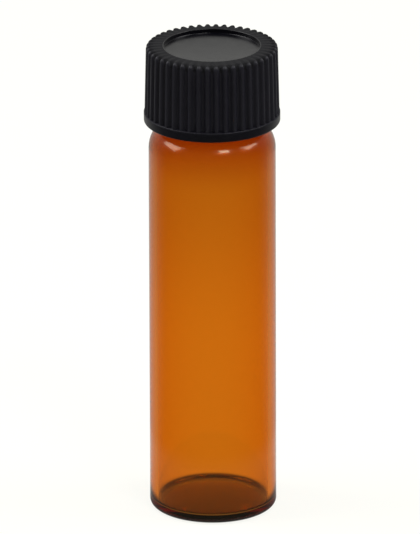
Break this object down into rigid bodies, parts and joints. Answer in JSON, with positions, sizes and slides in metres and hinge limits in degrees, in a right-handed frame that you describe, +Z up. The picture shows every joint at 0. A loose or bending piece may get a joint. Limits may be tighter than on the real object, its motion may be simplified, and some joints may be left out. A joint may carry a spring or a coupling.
{
  "type": "glass sample vial",
  "caption": "Small upright amber glass sample vial with a black ribbed screw cap, sunk top panel and a flat cap liner.",
  "frame": {"origin": "centre of the foot circle, on the plane that the vial stands on", "axes": "+Z up along the axis of the vial, towards the cap"},
  "size_m": [0.0178, 0.0178, 0.0638],
  "materials": {
    "amber_glass": "clear amber glass, fire polished",
    "black_cap_plastic": "moulded black plastic, satin",
    "white_liner_foam": "soft white foamed sealing disc"
  },
  "bodies": {
    "vial": {"vial_body": "amber_glass"},
    "liner": {"cap_liner": "white_liner_foam"},
    "cap": {"screw_cap": "black_cap_plastic"}
  },
  "joints": [
    {"name": "cap_rise", "type": "slide", "parent": "vial", "child": "liner", "axis": [0, 0, 1], "range_m": [0, 0.0127]},
    {"name": "cap_turn", "type": "hinge", "parent": "liner", "child": "cap", "pos_m": [0, 0, 0.0616], "axis": [0, 0, 1], "range_deg": [0, 2160]}
  ],
  "couplings": [
    {"joint": "cap_turn", "follows": "cap_rise", "rad_per_m": 2968.4}
  ]
}
